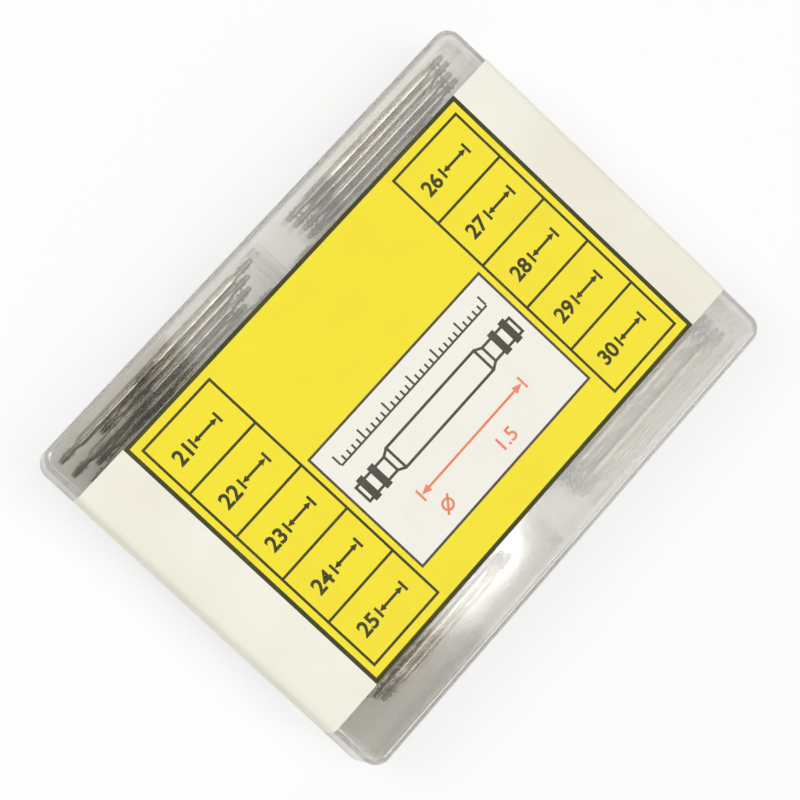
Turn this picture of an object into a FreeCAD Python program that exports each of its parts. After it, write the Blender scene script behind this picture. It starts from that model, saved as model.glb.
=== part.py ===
import FreeCAD, Part
import math
import os

V = FreeCAD.Vector

# Clear case with a lift-off lid, ten pockets and ten sizes of spring bar.
# Origin: middle of the underside. +X runs along the long side, +Y across, +Z up. All sizes are in mm.

# case
case_length = 82.7
case_width = 61.6
case_height = 11.0
corner_radius = 2.4
floor_thickness = 1.3
ledge_height = 2.0
foot_chamfer = 0.3
tray_wall = 0.7
spine_thickness = 1.0
divider_thickness = 0.8
pocket_rows = 5
pocket_corner_radius = 0.45
wall_top_gap = 0.3

# lid
lid_top_thickness = 1.0
skirt_wall = 0.75
lid_fit = 0.1
lid_seat_gap = 0.05
lid_edge_radius = 1.0

# paper label, one strip over the lid and down both end walls
label_thickness = 0.15
label_gap = 0.03
label_width = 46.2
label_shift_y = 0.35
label_end_above_ledge = 0.4

# spring bar, the same on every size but for its length
first_size = 21.0
size_step = 1.0
tube_diameter = 1.5
tube_bore = 1.16
lip_wall = 0.15
lip_length = 0.35
crimp_length = 0.6
shank_diameter = 0.74
shank_clearance = 0.05
tip_diameter = 0.8
tip_length = 1.1
tip_round = 0.15
outer_flange_diameter = 1.24
outer_flange_length = 0.35
neck_diameter = 0.8
neck_length = 0.5
inner_flange_diameter = 1.36
inner_flange_length = 0.35
flange_bevel = 0.05
stroke = 1.1
stroke_stop_gap = 0.05
head_length = 0.6
head_clearance = 0.06
head_seat_gap = 0.05
pilot_length = 0.9
pilot_clearance = 0.08
spring_wire = 0.16
spring_clearance = 0.07
spring_turns = 8
spring_end_gap = 0.05

# how the bars lie in their pockets
bar_gap = 0.05
pile_pitch = 1.25
row_gap = 0.08
heap_side_gap = 0.1
wall_side_gap = 0.3
pocket_end_gap = 0.3
heap_25_start = 2.3
row_count = 6
slide_step = 0.62
slide_row_shift = 0.13
slide_column_shift = 0.31

# derived case sizes
tray_inset = skirt_wall + lid_fit
tray_corner_radius = corner_radius - tray_inset
pocket_inset = tray_inset + tray_wall
lid_underside = case_height - lid_top_thickness
wall_top = lid_underside - wall_top_gap
lid_bottom = ledge_height + lid_seat_gap
pocket_length = (case_length - 2 * pocket_inset - spine_thickness) / 2
dividers_total = (pocket_rows - 1) * divider_thickness
pocket_width = (case_width - 2 * pocket_inset - dividers_total) / pocket_rows

# derived bar sizes
mouth_bore = shank_diameter + 2 * shank_clearance
mouth_diameter = mouth_bore + 2 * lip_wall
head_diameter = tube_bore - 2 * head_clearance
spring_diameter = tube_bore - 2 * spring_clearance
pilot_diameter = spring_diameter - 2 * (spring_wire + pilot_clearance)
bar_thickness = max(tube_diameter, outer_flange_diameter, inner_flange_diameter)
stack_length = tip_length + outer_flange_length + neck_length + inner_flange_length
mouth_from_tip = stack_length + stroke + stroke_stop_gap
cone_run = crimp_length - lip_length
head_share = (head_diameter - mouth_bore) / (tube_bore - mouth_bore)
head_start = lip_length + cone_run * head_share + head_seat_gap
spring_start = mouth_from_tip + head_start + head_length + spring_end_gap

# derived places: bars in a pile lie in columns, and every second column sits half a layer higher
level_step = math.sqrt((bar_thickness + bar_gap) ** 2 - pile_pitch ** 2)
lowest_bar_z = floor_thickness + bar_gap + bar_thickness / 2
pile_columns = int((pocket_width - 2 * wall_side_gap - bar_thickness) / pile_pitch) + 1

# How far each bar that shows has slid along its pocket, from 0 at the left end to 1 at the right.
# The lists run from the wall inwards: the far wall for a pile, which has a lower and an upper layer,
# and the near wall for a heap, which has one.
pile_21 = [
    [0.03, 0.47, 0.02, 0.25, 0.10, 0.01, 0.60, 0.04],
    [0.99, 0.88, 0.80, 0.67, 0.93, 0.78, 0.40, 0.90],
]
pile_26 = [
    [0.58, 0.61, 0.65, 0.63, 0.30, 0.85, 0.12, 0.50],
    [0.96, 0.98, 0.86, 0.89, 0.20, 0.70, 0.45, 0.33],
]
heap_25 = [0.57, 0.52, 0.30, 0.85, 0.12, 0.66]
heap_30 = [0.99, 0.90, 0.97, 0.93, 0.60, 0.75]


def rounded_block(length, width, radius, z0, z1):
    """Upright block centred on Z, with its four vertical edges rounded."""
    hx = length / 2
    hy = width / 2
    ends = [(hx, hy, 0), (-hx, hy, 90), (-hx, -hy, 180), (hx, -hy, 270)]
    edges = []
    last = None
    first = None
    for x, y, start in ends:
        centre = V(x - math.copysign(radius, x), y - math.copysign(radius, y), z0)
        points = []
        for angle in (start, start + 45, start + 90):
            turn = math.radians(angle)
            points.append(centre + V(radius * math.cos(turn), radius * math.sin(turn), 0))
        if last is None:
            first = points[0]
        else:
            edges.append(Part.LineSegment(last, points[0]).toShape())
        edges.append(Part.Arc(*points).toShape())
        last = points[2]
    edges.append(Part.LineSegment(last, first).toShape())
    return Part.Face(Part.Wire(edges)).extrude(V(0, 0, z1 - z0))


def turned(profile):
    """Solid of revolution about X from (x, radius) points, closed by a straight line."""
    points = [V(x, r, 0) for x, r in profile]
    face = Part.Face(Part.makePolygon(points + [points[0]]))
    return face.revolve(V(0, 0, 0), V(1, 0, 0), 360)


def edges_at_height(shape, z):
    return [e for e in shape.Edges if abs(e.BoundBox.ZMin - z) < 1e-6 and abs(e.BoundBox.ZMax - z) < 1e-6]


def pocket_box(column, row):
    """Lower left corner of a pocket's floor. Column 0 is the left one, row 0 the far one."""
    x = -case_length / 2 + pocket_inset
    if column == 1:
        x = spine_thickness / 2
    top = case_width / 2 - pocket_inset - row * (pocket_width + divider_thickness)
    return x, top - pocket_width


def make_tray():
    ledge = rounded_block(case_length, case_width, corner_radius, 0, ledge_height)
    ledge = ledge.makeChamfer(foot_chamfer, edges_at_height(ledge, 0))
    wall_length = case_length - 2 * tray_inset
    wall_width = case_width - 2 * tray_inset
    walls = rounded_block(wall_length, wall_width, tray_corner_radius, floor_thickness, wall_top)
    tray = ledge.fuse(walls).removeSplitter()
    pocket = rounded_block(pocket_length, pocket_width, pocket_corner_radius, floor_thickness, case_height)
    for column in (0, 1):
        for row in range(pocket_rows):
            x, y = pocket_box(column, row)
            cutter = pocket.copy()
            cutter.translate(V(x + pocket_length / 2, y + pocket_width / 2, 0))
            tray = tray.cut(cutter)
    return tray


def make_lid():
    shell = rounded_block(case_length, case_width, corner_radius, lid_bottom, case_height)
    shell = shell.makeFillet(lid_edge_radius, edges_at_height(shell, case_height))
    hollow = rounded_block(
        case_length - 2 * skirt_wall,
        case_width - 2 * skirt_wall,
        corner_radius - skirt_wall,
        0,
        lid_underside,
    )
    return shell.cut(hollow)


def strip_outline(offset):
    """Half of the strip's path in the XZ plane, this far outside the lid: end wall, round edge, top."""
    radius = lid_edge_radius + offset
    x = case_length / 2 + offset
    bend = V(case_length / 2 - lid_edge_radius, 0, case_height - lid_edge_radius)
    foot = V(x, 0, lid_bottom + label_end_above_ledge)
    side = V(x, 0, bend.z)
    middle = bend + V(radius * math.sqrt(0.5), 0, radius * math.sqrt(0.5))
    crown = V(bend.x, 0, bend.z + radius)
    return foot, side, middle, crown


def mirrored(point):
    return V(-point.x, point.y, point.z)


def make_label():
    foot, side, middle, crown = strip_outline(label_gap)
    foot2, side2, middle2, crown2 = strip_outline(label_gap + label_thickness)
    edges = [
        Part.LineSegment(foot, side).toShape(),
        Part.Arc(side, middle, crown).toShape(),
        Part.LineSegment(crown, mirrored(crown)).toShape(),
        Part.Arc(mirrored(crown), mirrored(middle), mirrored(side)).toShape(),
        Part.LineSegment(mirrored(side), mirrored(foot)).toShape(),
        Part.LineSegment(mirrored(foot), mirrored(foot2)).toShape(),
        Part.LineSegment(mirrored(foot2), mirrored(side2)).toShape(),
        Part.Arc(mirrored(side2), mirrored(middle2), mirrored(crown2)).toShape(),
        Part.LineSegment(mirrored(crown2), crown2).toShape(),
        Part.Arc(crown2, middle2, side2).toShape(),
        Part.LineSegment(side2, foot2).toShape(),
        Part.LineSegment(foot2, foot).toShape(),
    ]
    strip = Part.Face(Part.Wire(edges)).extrude(V(0, label_width, 0))
    strip.translate(V(0, label_shift_y - label_width / 2, 0))
    return strip


def bar_length(size):
    """Tip to tip. The size is the distance between the outer flanges' outer faces."""
    return size + 2 * tip_length


def tube_length(size):
    return bar_length(size) - 2 * mouth_from_tip


def make_tube(size):
    """Tube with both ends crimped over the pins. Its left mouth is at X = 0."""
    length = tube_length(size)
    half = [
        (0, mouth_bore / 2),
        (0, mouth_diameter / 2),
        (lip_length, mouth_diameter / 2),
        (crimp_length, tube_diameter / 2),
    ]
    inner = [(crimp_length, tube_bore / 2), (lip_length, mouth_bore / 2)]
    outside = half + [(length - x, r) for x, r in reversed(half)]
    inside = [(length - x, r) for x, r in reversed(inner)] + inner
    return turned(outside + inside)


def make_pin():
    """Left pin, tip at X = 0 and pointing to -X: tip, two flanges, shank, retained head, spring pilot."""
    flange_start = tip_length
    flange_end = flange_start + outer_flange_length
    second_start = flange_end + neck_length
    second_end = second_start + inner_flange_length
    head_x = mouth_from_tip + head_start
    head_end = head_x + head_length
    profile = [
        (0, 0),
        (0, tip_diameter / 2 - tip_round),
        (tip_round, tip_diameter / 2),
        (flange_start, tip_diameter / 2),
        (flange_start, outer_flange_diameter / 2 - flange_bevel),
        (flange_start + flange_bevel, outer_flange_diameter / 2),
        (flange_end - flange_bevel, outer_flange_diameter / 2),
        (flange_end, outer_flange_diameter / 2 - flange_bevel),
        (flange_end, neck_diameter / 2),
        (second_start, neck_diameter / 2),
        (second_start, inner_flange_diameter / 2 - flange_bevel),
        (second_start + flange_bevel, inner_flange_diameter / 2),
        (second_end - flange_bevel, inner_flange_diameter / 2),
        (second_end, inner_flange_diameter / 2 - flange_bevel),
        (second_end, shank_diameter / 2),
        (head_x, shank_diameter / 2),
        (head_x, head_diameter / 2),
        (head_end, head_diameter / 2),
        (head_end, pilot_diameter / 2),
        (head_end + pilot_length, pilot_diameter / 2),
        (head_end + pilot_length, 0),
    ]
    return turned(profile)


def arc_to(start, corner, end):
    """Arc from start to end that is tangent to the two lines meeting at corner."""
    leg = (start - corner).Length
    chord_middle = (start + end) * 0.5
    axis = chord_middle - corner
    axis.normalize()
    toward = start - corner
    half_angle = toward.getAngle(axis)
    centre_distance = leg / math.cos(half_angle)
    radius = leg * math.tan(half_angle)
    return Part.Arc(start, corner + axis * (centre_distance - radius), end).toShape()


def biarc(p0, t0, p1, t1):
    """Two arcs from p0 to p1 that leave along t0, arrive along t1 and share a tangent."""
    chord = p1 - p0
    a = 2 * (t0.dot(t1) - 1)
    b = -2 * chord.dot(t0 + t1)
    c = chord.dot(chord)
    reach = (-b - math.sqrt(b * b - 4 * a * c)) / (2 * a)
    c0 = p0 + t0 * reach
    c1 = p1 - t1 * reach
    middle = (c0 + c1) * 0.5
    return [arc_to(p0, c0, middle), arc_to(middle, c1, p1)]


def spring_length(size):
    return tube_length(size) - 2 * (head_start + head_length + spring_end_gap)


def make_spring(size):
    """Compression spring along X from X = 0: one round wire on two arcs for each half turn."""
    radius = (spring_diameter - spring_wire) / 2
    run = spring_length(size) - spring_wire
    pitch = run / spring_turns
    tilt = math.hypot(2 * math.pi * radius, pitch)

    def at(turn):
        angle = 2 * math.pi * turn
        point = V(spring_wire / 2 + pitch * turn, radius * math.cos(angle), radius * math.sin(angle))
        along = V(pitch, -2 * math.pi * radius * math.sin(angle), 2 * math.pi * radius * math.cos(angle))
        return point, along * (1 / tilt)

    edges = []
    for step in range(2 * spring_turns):
        p0, t0 = at(step / 2)
        p1, t1 = at((step + 1) / 2)
        edges += biarc(p0, t0, p1, t1)
    start, along = at(0)
    section = Part.Wire([Part.Circle(start, along, spring_wire / 2).toShape()])
    return Part.Wire(edges).makePipeShell([section], True, False)


def pile_places(layers, first_y):
    """Slide, Y and Z of the bars in a loose pile that starts at the pocket's far wall."""
    found = []
    for layer, slides in enumerate(layers):
        for index in range(pile_columns):
            level = 2 * layer + 1 - index % 2
            z = lowest_bar_z + level * level_step
            found.append((slides[index % len(slides)], first_y - index * pile_pitch, z))
    return found


def heap_places(slides, first_y):
    """Slide, Y and Z of the bars in a single zigzag layer that starts near the pocket's near wall."""
    found = []
    for index, slide in enumerate(slides):
        z = lowest_bar_z + index % 2 * level_step
        found.append((slide, first_y + index * pile_pitch, z))
    return found


def row_places(slides, first_y):
    """Slide, Y and Z of the bars in one flat layer on the pocket's floor, from the far wall inwards."""
    pitch = bar_thickness + row_gap
    return [(slide, first_y - index * pitch, lowest_bar_z) for index, slide in enumerate(slides)]


def hidden_slides(column, row):
    shift = slide_row_shift * row + slide_column_shift * column
    return [(slide_step * index + shift) % 1 for index in range(row_count)]


def bar_places(column, row):
    """Left tip of every bar in one pocket."""
    size = first_size + size_step * (row + pocket_rows * column)
    x0, y0 = pocket_box(column, row)
    play = pocket_length - bar_length(size) - 2 * pocket_end_gap
    near_y = y0 + bar_thickness / 2
    far_y = y0 + pocket_width - bar_thickness / 2
    if row == 0:
        found = pile_places(pile_21 if column == 0 else pile_26, far_y - wall_side_gap)
    elif row < pocket_rows - 1:
        found = row_places(hidden_slides(column, row), far_y - wall_side_gap)
    elif column == 0:
        found = heap_places(heap_25, near_y + heap_25_start)
    else:
        found = heap_places(heap_30, near_y + heap_side_gap)
    return size, [V(x0 + pocket_end_gap + play * slide, y, z) for slide, y, z in found]


def group(shape, places, shift):
    copies = []
    for place in places:
        copy = shape.copy()
        copy.translate(place + V(shift, 0, 0))
        copies.append(copy)
    return Part.makeCompound(copies)


def save(shape, name):
    shape.exportStep("parts/" + name + ".step")
    print(name, len(shape.Solids), "solids, valid", shape.isValid(), "volume", round(shape.Volume, 3))


os.makedirs("parts", exist_ok=True)
save(make_tray(), "tray")
save(make_lid(), "lid")
save(make_label(), "label")
left_pin = make_pin()
right_pin = left_pin.mirror(V(0, 0, 0), V(1, 0, 0))
for column in (0, 1):
    for row in range(pocket_rows):
        size, places = bar_places(column, row)
        mark = str(int(round(size)))
        save(group(make_tube(size), places, mouth_from_tip), "bar_tubes_" + mark)
        save(group(make_spring(size), places, spring_start), "bar_springs_" + mark)
        save(group(left_pin, places, 0), "bar_pins_left_" + mark)
        save(group(right_pin, places, bar_length(size)), "bar_pins_right_" + mark)
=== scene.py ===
import math

import bmesh
import bpy
from mathutils import Matrix, Vector


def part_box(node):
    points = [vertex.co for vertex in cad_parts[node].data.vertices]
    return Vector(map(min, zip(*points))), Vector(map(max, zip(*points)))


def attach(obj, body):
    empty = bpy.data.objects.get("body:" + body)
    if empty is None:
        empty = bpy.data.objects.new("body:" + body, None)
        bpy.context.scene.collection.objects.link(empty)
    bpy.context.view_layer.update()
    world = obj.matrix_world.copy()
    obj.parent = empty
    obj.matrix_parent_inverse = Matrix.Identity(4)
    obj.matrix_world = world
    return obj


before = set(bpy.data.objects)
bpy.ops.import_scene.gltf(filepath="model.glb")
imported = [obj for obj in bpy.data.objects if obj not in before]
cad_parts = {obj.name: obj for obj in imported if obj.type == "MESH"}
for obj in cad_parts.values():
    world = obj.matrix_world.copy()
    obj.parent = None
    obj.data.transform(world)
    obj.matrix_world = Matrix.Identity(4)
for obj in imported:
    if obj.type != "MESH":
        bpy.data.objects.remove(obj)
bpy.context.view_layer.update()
mm = 0.001
sizes = range(21, 31)  # the bars' lengths, in mm
print("frame loaded:", len(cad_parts), "nodes")


# camera
view = {
    "place": Vector((-68.64, 30.25, 328.8)) * mm,
    "lookAt": Vector((-2.29, 0.61, 11.2)) * mm,
    "roll": math.radians(66.74),
    "lens": 108.2,
    "sensor": 36,
    "nearest": 0.01,
}


def makeCamera():
    camera = bpy.data.objects.new("camera", bpy.data.cameras.new("camera"))
    camera.data.lens = view["lens"]
    camera.data.sensor_width = view["sensor"]
    camera.data.clip_start = view["nearest"]
    aim = (view["lookAt"] - view["place"]).to_track_quat("-Z", "Y").to_matrix().to_4x4()
    turn = Matrix.Rotation(view["roll"], 4, "Z")
    camera.matrix_world = Matrix.Translation(view["place"]) @ aim @ turn
    bpy.context.scene.collection.objects.link(camera)
    bpy.context.scene.camera = camera
    bpy.context.scene.view_settings.view_transform = "Standard"


makeCamera()
print("camera set")


# a value in a node tree, with arithmetic
class Value:
    def __init__(self, tree, socket):
        self.tree = tree
        self.socket = socket

    def math(self, operation, first, second):
        return self.tree.node("ShaderNodeMath", {"operation": operation}, {0: first, 1: second})

    def __add__(self, other):
        return self.math("ADD", self, other)

    def __radd__(self, other):
        return self.math("ADD", other, self)

    def __sub__(self, other):
        return self.math("SUBTRACT", self, other)

    def __rsub__(self, other):
        return self.math("SUBTRACT", other, self)

    def __mul__(self, other):
        return self.math("MULTIPLY", self, other)

    def __rmul__(self, other):
        return self.math("MULTIPLY", other, self)

    def smallest(self, other):
        return self.math("MINIMUM", self, other)

    def largest(self, other):
        return self.math("MAXIMUM", self, other)

    def between(self, low, high):  # 0 below low, 1 above high, smooth between
        inputs = {"Value": self, "From Min": low, "From Max": high}
        return self.tree.node("ShaderNodeMapRange", {"interpolation_type": "SMOOTHSTEP"}, inputs)


# a node tree whose nodes come from node()
class Tree:
    def __init__(self, owner):
        owner.use_nodes = True
        self.nodes = owner.node_tree.nodes
        self.links = owner.node_tree.links

    def put(self, socket, value):
        if isinstance(value, Value):
            self.links.new(value.socket, socket)
        else:
            socket.default_value = value

    def node(self, kind, settings=None, inputs=None, output=0):
        made = self.nodes.new(kind)
        for name, value in (settings or {}).items():
            setattr(made, name, value)
        for name, value in (inputs or {}).items():
            self.put(made.inputs[name], value)
        return Value(self, made.outputs[output])

    def ray(self, kind):  # 1 for one kind of ray, such as "Camera"
        return self.node("ShaderNodeLightPath", output=f"Is {kind} Ray")


# a material: set() fills the shader's sockets
class Finish(Tree):
    def __init__(self, name):
        self.material = bpy.data.materials.new(name)
        super().__init__(self.material)
        self.shader = self.nodes["Principled BSDF"]
        self.output = self.nodes["Material Output"]
        self.surface = Value(self, self.shader.outputs[0])

    def set(self, **sockets):
        for name, value in sockets.items():
            self.put(self.shader.inputs[name.replace("_", " ")], value)

    def place(self, stretch=(1, 1, 1), turn=0.0):  # object coordinates in metres; stretch draws a pattern out
        point = self.node("ShaderNodeTexCoord", output=3)
        settings = {"vector_type": "TEXTURE"}
        inputs = {"Vector": point, "Scale": stretch, "Rotation": (0, 0, turn)}
        return self.node("ShaderNodeMapping", settings, inputs)

    def along(self, point, axis):  # distance along X, Y or Z, in metres
        return self.node("ShaderNodeSeparateXYZ", None, {"Vector": point}, output="XYZ".index(axis))

    def noise(self, point, scale, detail=3.0, roughness=0.5):
        inputs = {"Vector": point, "Scale": scale, "Detail": detail, "Roughness": roughness}
        return self.node("ShaderNodeTexNoise", None, inputs)

    def blend(self, share, first, second):
        return self.node("ShaderNodeMix", {"data_type": "RGBA"}, {0: share, 6: first, 7: second}, output=2)

    def bump(self, height, strength, distance):
        inputs = {"Height": height, "Strength": strength, "Distance": distance}
        self.set(Normal=self.node("ShaderNodeBump", None, inputs))

    def passLamps(self, tint, thin):  # lamps' light goes through, and a share of every ray isn't bent
        clear = self.node("ShaderNodeBsdfTransparent", None, {"Color": tint})
        self.mixIn(self.ray("Shadow").largest(self.ray("Diffuse")).largest(thin), clear)

    def mixIn(self, share, other):
        self.surface = self.node("ShaderNodeMixShader", None, {0: share, 1: self.surface, 2: other})
        self.put(self.output.inputs["Surface"], self.surface)


def paint(thing, finish):
    thing.data.materials.clear()
    thing.data.materials.append(finish.material)


# clear moulded plastic
plastic = {
    "colour": (0.915, 0.905, 0.88, 1),
    "lampTint": (0.94, 0.932, 0.912, 1),
    "thin": 0.2,
    "clearness": 0.965,
    "ior": 1.57,
    "coat": 0.6,
    "coatRoughness": 0.07,
    "roughness": 0.03,
    "hazeRoughness": 0.03,
    "scratches": ((0.35, 2100), (1.15, 2600), (2.3, 2300)),  # turn in radians, and scale
    "scratchStretch": 45,
    "scratchEdge": (0.73, 0.77),
    "scratchDepth": 0.15,
    "scratchRoughness": 0.16,
    "scuff": {"X": (-6.0, 6.0), "Y": (-20.0, -23.0), "Z": (9.6, 10.1)},  # where it starts and is full, in mm
    "scuffRoughness": 0.13,
    "veil": 0.2,
    "veilColour": (0.88, 0.86, 0.84, 1),
    "waveDepth": 0.02 * mm,
    "waveScale": 110,
}


def clearPlastic(name, scuffed):
    finish = Finish(name)
    point = finish.place()
    wave = finish.noise(point, plastic["waveScale"], 1.0)
    scratches = None
    for turn, scale in plastic["scratches"]:
        line = finish.noise(finish.place((1, plastic["scratchStretch"], 1), turn), scale, 1.0)
        mark = line.between(*plastic["scratchEdge"])
        scratches = mark if scratches is None else scratches.largest(mark)
    haze = finish.noise(point, 60, 4.0).between(0.45, 0.75)
    rough = scratches * plastic["scratchRoughness"] + haze * plastic["hazeRoughness"] + plastic["roughness"]
    if scuffed:  # the lid's top is rubbed dull on one side, over the largest size
        rub = 1.0
        for axis, (start, full) in plastic["scuff"].items():
            rub = rub * finish.along(point, axis).between(start * mm, full * mm)
        rough = rough + rub * (haze * 0.5 + 0.5) * plastic["scuffRoughness"]
        veil = finish.node("ShaderNodeBsdfDiffuse", None, {"Color": plastic["veilColour"]})
        finish.mixIn(rub * (haze * 0.4 + 0.8) * plastic["veil"], veil)
    finish.set(
        Base_Color=plastic["colour"],
        Transmission_Weight=plastic["clearness"],
        IOR=plastic["ior"],
        Roughness=rough,
        Coat_Weight=plastic["coat"],
        Coat_Roughness=plastic["coatRoughness"],
    )
    finish.bump(wave + scratches * plastic["scratchDepth"], 1.0, plastic["waveDepth"])
    finish.passLamps(plastic["lampTint"], plastic["thin"])
    return finish


# paper and print
paper = {
    "colour": (0.90, 0.88, 0.78, 1),
    "shade": (0.84, 0.81, 0.69, 1),
    "fibreScale": 2600,
    "fibreDepth": 0.02 * mm,
}


def paperFinish():
    finish = Finish("cream paper")
    point = finish.place()
    cloud = finish.noise(point, 45, 4.0)
    fibre = finish.noise(finish.place((2.2, 1, 1)), paper["fibreScale"], 4.0, 0.7)
    tone = finish.blend(cloud.between(0.35, 0.75), paper["colour"], paper["shade"])
    finish.set(Base_Color=tone, Roughness=fibre * 0.15 + 0.78, Specular_IOR_Level=0.2)
    finish.bump(fibre + cloud * 2, 0.8, paper["fibreDepth"])
    return finish


def inkFinish(name, colour, worn, gloss):
    finish = Finish(name)
    point = finish.place()
    speck = finish.noise(point, 3800, 3.0, 0.7)
    cloud = finish.noise(point, 160, 3.0)
    share = (speck.between(0.42, 0.72) * 0.55 + cloud.between(0.4, 0.75) * 0.45).smallest(1.0)
    tone = finish.blend(share, colour, worn)
    finish.set(Base_Color=tone, Roughness=speck * 0.2 + gloss, Specular_IOR_Level=0.3)
    finish.bump(speck, 0.5, paper["fibreDepth"])
    return finish


# metal: the colour where it is bright and where it is stained, and how rough it is
steel = {
    "tube": {"bright": (0.64, 0.61, 0.52, 1), "dull": (0.37, 0.34, 0.26, 1), "roughness": 0.08},
    "pin": {"bright": (0.36, 0.33, 0.25, 1), "dull": (0.19, 0.17, 0.11, 1), "roughness": 0.1},
    "wire": {"bright": (0.55, 0.55, 0.53, 1), "dull": (0.4, 0.4, 0.38, 1), "roughness": 0.2},
    "drawnScale": 9000,
    "stainScale": 900,
    "unevenness": 0.06,
    "grooveDepth": 0.01 * mm,
}


def steelFinish(name, kind):
    look = steel[kind]
    finish = Finish(name)
    drawn = finish.noise(finish.place((30, 1, 1)), steel["drawnScale"], 3.0, 0.6)
    stain = finish.noise(finish.place((2, 1, 1)), steel["stainScale"], 4.0, 0.6)
    finish.set(
        Base_Color=finish.blend(stain.between(0.4, 0.7), look["bright"], look["dull"]),
        Metallic=1.0,
        Roughness=drawn * steel["unevenness"] + stain * steel["unevenness"] + look["roughness"],
    )
    finish.bump(drawn, 0.35, steel["grooveDepth"])
    return finish


trayPlastic = clearPlastic("clear tray plastic", False)
lidPlastic = clearPlastic("clear lid plastic", True)
paint(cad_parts["tray"], trayPlastic)
paint(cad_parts["lid"], lidPlastic)
paint(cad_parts["label"], paperFinish())
tubeSteel = steelFinish("drawn tube steel", "tube")
pinSteel = steelFinish("turned pin steel", "pin")
wireSteel = steelFinish("spring wire", "wire")
for size in sizes:
    paint(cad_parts[f"bar_tubes_{size}"], tubeSteel)
    paint(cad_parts[f"bar_springs_{size}"], wireSteel)
    for side in ("left", "right"):
        paint(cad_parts[f"bar_pins_{side}_{size}"], pinSteel)
print("case, paper and bars finished")


# print on the label: sizes in mm from the middle of the printed field
labelLow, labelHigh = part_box("label")
printed = {
    "middle": Vector((0.66, (labelLow.y + labelHigh.y) / 2 / mm)),
    "halfLength": 33.45,
    "halfWidth": (labelHigh.y - labelLow.y) / 2 / mm - 0.03,
    "border": 0.62,
    "frameLine": 0.38,
    "frameInner": 18.5,
    "frameOuter": 31.93,
    "frameHalfWidth": 21.25,
    "rows": 5,
    "paperZ": labelHigh.z / mm,
    "layer": 0.008,
    "ink": 0.012,
}
yellowInk = inkFinish("yellow ink", (0.93, 0.79, 0.03, 1), (0.89, 0.72, 0.035, 1), 0.45)
darkInk = inkFinish("dark olive ink", (0.04, 0.045, 0.012, 1), (0.085, 0.085, 0.022, 1), 0.5)
greyInk = inkFinish("warm grey ink", (0.075, 0.065, 0.05, 1), (0.13, 0.115, 0.09, 1), 0.5)
coralInk = inkFinish("coral ink", (0.83, 0.2, 0.09, 1), (0.88, 0.33, 0.2, 1), 0.5)
panelInk = inkFinish("white panel", (0.90, 0.88, 0.80, 1), (0.86, 0.84, 0.75, 1), 0.55)


class Print:  # a thin layer of ink on the label; points are in mm from the middle of the printed field
    def __init__(self, name, layer, finish):
        self.name = name
        self.finish = finish
        self.bm = bmesh.new()
        self.low = printed["paperZ"] + (layer - 1) * printed["layer"]
        self.high = printed["paperZ"] + layer * printed["layer"] + printed["ink"] - printed["layer"]
        self.lift = 0.0  # strokes that cross others lie a little higher

    def shape(self, points):
        corners = [Vector(point) + printed["middle"] for point in points]
        top = [self.bm.verts.new((p.x * mm, p.y * mm, (self.high + self.lift) * mm)) for p in corners]
        bottom = [self.bm.verts.new((p.x * mm, p.y * mm, self.low * mm)) for p in corners]
        self.bm.faces.new(top)
        self.bm.faces.new(list(reversed(bottom)))
        for index in range(len(corners)):
            after = (index + 1) % len(corners)
            self.bm.faces.new((top[index], bottom[index], bottom[after], top[after]))

    def bar(self, x0, x1, y0, y1):
        self.shape([(x0, y0), (x1, y0), (x1, y1), (x0, y1)])

    def line(self, start, end, width):
        start = Vector(start)
        end = Vector(end)
        aside = (end - start).normalized().orthogonal() * width / 2
        self.shape([start - aside, end - aside, end + aside, start + aside])

    def frame(self, x0, x1, y0, y1, width):
        self.bar(x0, x1, y0, y0 + width)
        self.bar(x0, x1, y1 - width, y1)
        self.bar(x0, x0 + width, y0 + width, y1 - width)
        self.bar(x1 - width, x1, y0 + width, y1 - width)

    def number(self, text, x, y, height, weight):  # x and y are the left end and the middle
        curve = bpy.data.curves.new("digits", "FONT")
        curve.body = text
        curve.size = 1.0
        curve.offset = weight
        curve.resolution_u = 6
        curve.fill_mode = "BOTH"
        curve.extrude = 0.5
        thing = bpy.data.objects.new("digits", curve)
        bpy.context.scene.collection.objects.link(thing)
        bpy.context.view_layer.update()
        flat = bpy.data.meshes.new_from_object(thing.evaluated_get(bpy.context.evaluated_depsgraph_get()))
        xs = [v.co.x for v in flat.vertices]
        ys = [v.co.y for v in flat.vertices]
        scale = height / (max(ys) - min(ys))
        base = (max(ys) + min(ys)) / 2
        for v in flat.vertices:
            px = (v.co.x - min(xs)) * scale + x + printed["middle"].x
            py = (v.co.y - base) * scale + y + printed["middle"].y
            v.co = Vector((px, py, self.high if v.co.z > 0 else self.low)) * mm
        self.bm.from_mesh(flat)
        width = (max(xs) - min(xs)) * scale
        bpy.data.objects.remove(thing)
        bpy.data.meshes.remove(flat)
        return width

    def done(self):
        mesh = bpy.data.meshes.new(self.name)
        bmesh.ops.remove_doubles(self.bm, verts=self.bm.verts, dist=1e-7)
        bmesh.ops.recalc_face_normals(self.bm, faces=self.bm.faces)
        self.bm.to_mesh(mesh)
        self.bm.free()
        piece = bpy.data.objects.new(self.name, mesh)
        bpy.context.scene.collection.objects.link(piece)
        paint(piece, self.finish)
        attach(piece, "lid")
        return piece


def makeField():
    x = printed["halfLength"]
    y = printed["halfWidth"]
    field = Print("label_yellow_field", 1, yellowInk)
    field.bar(-x, x, -y, y)
    field.done()
    border = Print("label_border", 2, darkInk)
    border.frame(-x, x, -y, y, printed["border"])
    border.done()


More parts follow.
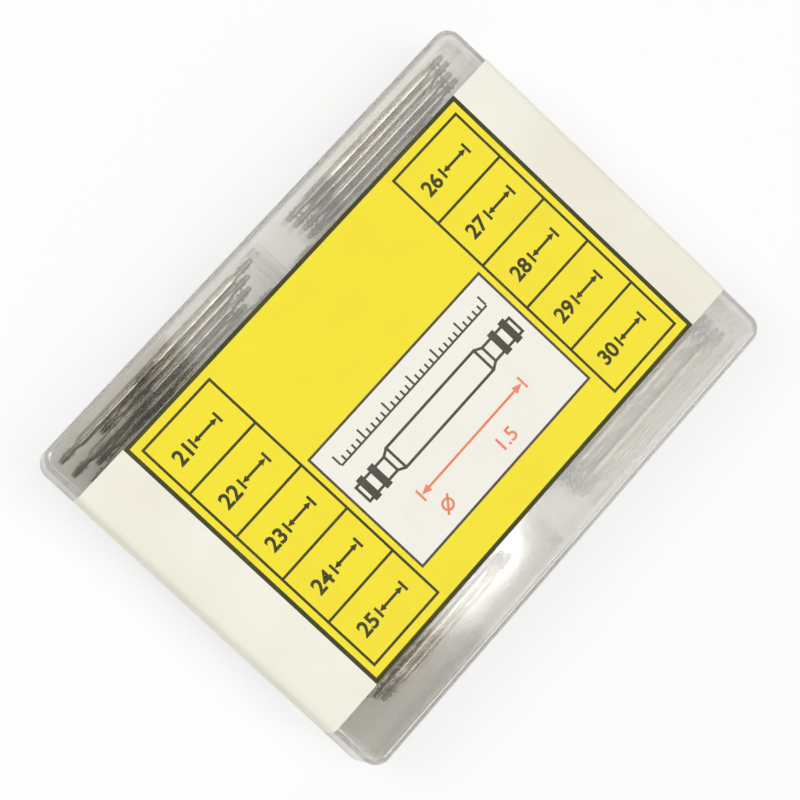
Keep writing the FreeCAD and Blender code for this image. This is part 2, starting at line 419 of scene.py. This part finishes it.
def makeSizeTable(side, first):
    table = Print(f"label_size_table_{side}", 2, darkInk)
    inner = printed["frameInner"]
    outer = printed["frameOuter"]
    half = printed["frameHalfWidth"]
    line = printed["frameLine"]
    x0, x1 = (-outer, -inner) if side == "left" else (inner, outer)
    table.frame(x0, x1, -half, half, line)
    cell = (2 * half - line) / printed["rows"]
    digits = {"height": 2.3, "x": 2.1, "weight": 0.028}
    mark = {"gap": 0.75, "length": 4.9, "post": 1.75, "line": 0.4, "head": 0.95}
    for row in range(printed["rows"]):
        top = half - row * cell
        if row > 0:
            table.bar(x0 + line, x1 - line, top - line, top)
        y = top - line / 2 - cell / 2
        width = table.number(str(first + row), x0 + digits["x"], y, digits["height"], digits["weight"])
        start = x0 + digits["x"] + width + mark["gap"]
        end = start + mark["length"]
        for x, way in ((start, 1), (end, -1)):
            table.bar(x - mark["line"] / 2, x + mark["line"] / 2, y - mark["post"] / 2, y + mark["post"] / 2)
            tip = x + way * mark["line"] / 2
            back = tip + way * mark["head"]
            head = [(tip, y), (back, y - mark["head"] / 2), (back, y + mark["head"] / 2)]
            table.shape(head if way > 0 else list(reversed(head)))
        shaft = mark["line"] / 2 + mark["head"]
        table.bar(start + shaft, end - shaft, y - mark["line"] / 2, y + mark["line"] / 2)
    table.done()


panel = {
    "x0": -17.7,
    "x1": 17.7,
    "y0": -17.3,
    "y1": 4.1,
    "line": 0.36,
    "rulerY": 0.3,
    "rulerHalf": 15.0,
    "barY": -4.6,
    "coralY": -10.6,
    "diameterY": -14.1,
}


def makePanel():
    field = Print("label_panel", 2, panelInk)
    field.bar(panel["x0"], panel["x1"], panel["y0"], panel["y1"])
    field.done()
    drawing = Print("label_bar_drawing", 3, greyInk)
    drawing.frame(panel["x0"], panel["x1"], panel["y0"], panel["y1"], panel["line"])
    ruler = {"line": 0.3, "short": 0.8, "long": 1.6}
    y = panel["rulerY"]
    drawing.bar(-panel["rulerHalf"], panel["rulerHalf"], y - ruler["line"], y)
    for step in range(int(2 * panel["rulerHalf"]) + 1):
        x = step - panel["rulerHalf"]
        height = ruler["long"] if step % 5 == 0 else ruler["short"]
        drawing.bar(x - ruler["line"] / 2, x + ruler["line"] / 2, y, y + height)
    drawBar(drawing, panel["barY"])
    drawing.done()


barDrawing = {
    "half": 10.2,
    "radius": 1.9,
    "taper": 1.1,
    "neck": 1.3,
    "pinHalf": 15.9,
    "pin": 1.3,
    "line": 0.4,
    "flanges": (11.9, 14.1),
    "flange": 1.15,
    "flangeRadius": 1.95,
    "lift": 0.004,
}


def drawBar(drawing, y):
    d = barDrawing
    r = d["radius"]
    straight = d["half"] - d["taper"]
    for sign in (1, -1):
        edge = y + sign * r
        pin = y + sign * d["pin"]
        drawing.line((-straight, edge), (straight, edge), d["line"])
        for end in (1, -1):
            drawing.line((end * straight, edge), (end * d["half"], y + sign * d["neck"]), d["line"])
            drawing.line((end * d["half"], pin), (end * d["pinHalf"], pin), d["line"])
    cap = d["line"] / 2
    drawing.lift = d["lift"]
    for end in (1, -1):
        for x, half in ((straight, r), (d["half"], d["neck"]), (d["pinHalf"], d["pin"])):
            drawing.line((end * x, y - half - cap), (end * x, y + half + cap), d["line"])
        for x in d["flanges"]:
            low, high = sorted((end * x, end * (x + d["flange"])))
            drawing.bar(low, high, y - d["flangeRadius"], y + d["flangeRadius"])


coral = {"half": 10.6, "line": 0.34, "post": 1.0, "headLength": 1.5, "headHalf": 0.6}
ring = {"x": -8.9, "outer": 0.95, "inner": 0.62, "steps": 28, "slash": (1.0, 1.1)}
thickness = {"text": "1.5", "x": 2.0, "height": 2.1, "weight": 0.012}


def makeCoralMarks():
    marks = Print("label_coral_marks", 3, coralInk)
    y = panel["coralY"]
    half = coral["half"]
    line = coral["line"]
    for end in (1, -1):
        marks.bar(end * half - line / 2, end * half + line / 2, y - coral["post"], y + coral["post"])
        tip = end * (half - line / 2)
        back = tip - end * coral["headLength"]
        marks.shape([(tip, y), (back, y + end * coral["headHalf"]), (back, y - end * coral["headHalf"])])
    shaft = half - line / 2 - coral["headLength"]
    marks.bar(-shaft, shaft, y - line / 2, y + line / 2)
    y = panel["diameterY"]
    for step in range(ring["steps"]):
        a = 2 * math.pi * step / ring["steps"]
        b = 2 * math.pi * (step + 1) / ring["steps"]
        corners = [(ring["outer"], a), (ring["outer"], b), (ring["inner"], b), (ring["inner"], a)]
        marks.shape([(ring["x"] + r * math.cos(t), y + r * math.sin(t)) for r, t in corners])
    marks.lift = barDrawing["lift"]
    across, up = ring["slash"]
    marks.line((ring["x"] - across, y - up), (ring["x"] + across, y + up), line)
    marks.number(thickness["text"], thickness["x"], y, thickness["height"], thickness["weight"])
    marks.done()


makeField()
makeSizeTable("left", 21)
makeSizeTable("right", 26)
makePanel()
makeCoralMarks()
print("label printed")


# stage: a pale floor, whiter for some kinds of ray
stage = {
    "colour": (0.94, 0.94, 0.94, 1),
    "roughness": 0.9,
    "seen": {"Camera": 0.7, "Transmission": 0.08, "Glossy": 0.15},
    "halfSize": 1.5,
    "z": -0.05 * mm,
}


def whiteStage(name):
    finish = Finish(name)
    finish.set(Base_Color=stage["colour"], Roughness=stage["roughness"])
    glow = finish.node("ShaderNodeEmission", None, {"Color": (1, 1, 1, 1), "Strength": 1.0})
    seen = 0.0
    for kind, share in stage["seen"].items():
        seen = finish.ray(kind) * share + seen
    finish.mixIn(seen, glow)
    return finish


def makeFloor():
    bm = bmesh.new()
    bmesh.ops.create_grid(bm, x_segments=1, y_segments=1, size=stage["halfSize"])
    mesh = bpy.data.meshes.new("floor")
    bm.to_mesh(mesh)
    bm.free()
    floor = bpy.data.objects.new("floor", mesh)
    floor.location.z = stage["z"]
    bpy.context.scene.collection.objects.link(floor)
    paint(floor, whiteStage("white floor"))


lamps = [
    {"name": "key_far", "place": (-0.3, 0.62, 0.62), "size": (0.45, 0.45), "power": 4.4},
    {"name": "near_panel", "place": (0.25, -0.62, 0.82), "size": (0.6, 0.42), "power": 4.1},
    {"name": "ceiling_panel", "place": (0.39, -0.05, 1.0), "size": (0.5, 0.5), "power": 1.4},
]
windowPanes = {  # one inside another, so that the reflection has a soft edge
    "place": (0.164, -0.172, 0.99),
    "sizes": ((0.03, 0.025), (0.065, 0.045), (0.1, 0.065)),
    "glow": 4.2,
}
for index, (across, deep) in enumerate(windowPanes["sizes"]):
    power = windowPanes["glow"] * math.pi * across * deep
    pane = {"name": f"window_{index}", "place": windowPanes["place"], "size": (across, deep), "power": power}
    lamps.append(pane)


def makeLamps():  # the first two are tilted towards the case, the others lie flat over it
    for lamp in lamps:
        data = bpy.data.lights.new(lamp["name"], "AREA")
        data.shape = "ELLIPSE" if lamp["name"].startswith("window") else "RECTANGLE"
        data.size, data.size_y = lamp["size"]
        data.energy = lamp["power"]
        thing = bpy.data.objects.new(lamp["name"], data)
        thing.location = lamp["place"]
        if lamp["name"] in ("key_far", "near_panel"):
            thing.rotation_euler.x = -math.atan2(lamp["place"][1], lamp["place"][2])
        bpy.context.scene.collection.objects.link(thing)


sky = {"overhead": 0.07, "horizon": 0.8}


def makeWorld():  # a dim ceiling and bright walls, white where the camera sees them
    world = bpy.data.worlds.new("world")
    tree = Tree(world)
    up = tree.node("ShaderNodeSeparateXYZ", None, {"Vector": tree.node("ShaderNodeTexCoord")}, output=2)
    level = (1 - up.largest(0.0)) * (sky["horizon"] - sky["overhead"]) + sky["overhead"]
    tree.put(tree.nodes["Background"].inputs["Color"], (1, 1, 1, 1))
    tree.put(tree.nodes["Background"].inputs["Strength"], level.largest(tree.ray("Camera")))
    bpy.context.scene.world = world


makeFloor()
makeLamps()
makeWorld()
print("stage and lamps set")
